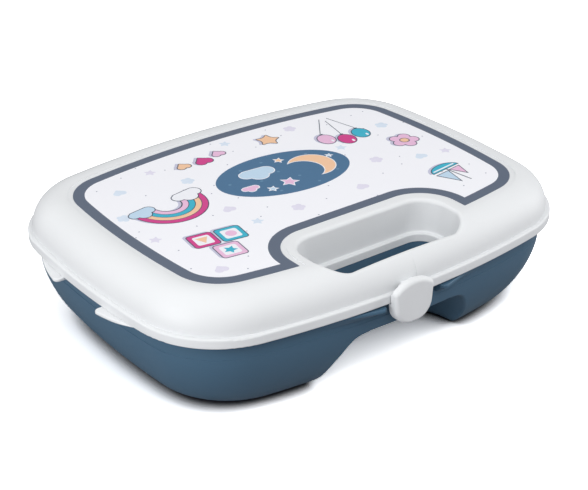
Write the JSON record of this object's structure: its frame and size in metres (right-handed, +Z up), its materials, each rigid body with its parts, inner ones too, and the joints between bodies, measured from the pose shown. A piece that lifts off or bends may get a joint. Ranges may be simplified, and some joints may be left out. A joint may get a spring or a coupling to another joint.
{
  "type": "toy baby care case",
  "caption": "Shallow two-shell plastic toy case with rounded corners, a handle opening through both shells, a front clasp, a back hinge and a printed lid label.",
  "frame": {"origin": "on the floor, at the bottom centre of the closed case's bounding box", "axes": "+X along the handle side, to the right when the clasp faces the viewer; +Y towards the hinge side; +Z up"},
  "size_m": [0.3098, 0.245, 0.0815],
  "materials": {
    "base_plastic": "slate blue polypropylene, satin with a fine grain",
    "lid_plastic": "cool white polypropylene, smooth satin",
    "clasp_plastic": "cool white polypropylene, smooth satin",
    "pin_steel": "drawn steel wire",
    "label_print": "printed film, pale ground with a slate border"
  },
  "bodies": {
    "base": {"base_shell": "base_plastic", "hinge_pin_left": "pin_steel", "hinge_pin_right": "pin_steel"},
    "lid": {"lid_shell": "lid_plastic", "lid_label": "label_print"},
    "clasp": {"clasp": "clasp_plastic", "clasp_pin": "pin_steel"}
  },
  "joints": [
    {"name": "lid_hinge", "type": "hinge", "parent": "base", "child": "lid", "pos_m": [0, 0.1182, 0.0503], "axis": [-1, 0, 0], "range_deg": [0, 105]},
    {"name": "clasp_hinge", "type": "hinge", "parent": "lid", "child": "clasp", "pos_m": [-0.006, -0.1185, 0.0646], "axis": [-1, 0, 0], "range_deg": [0, 60]}
  ]
}
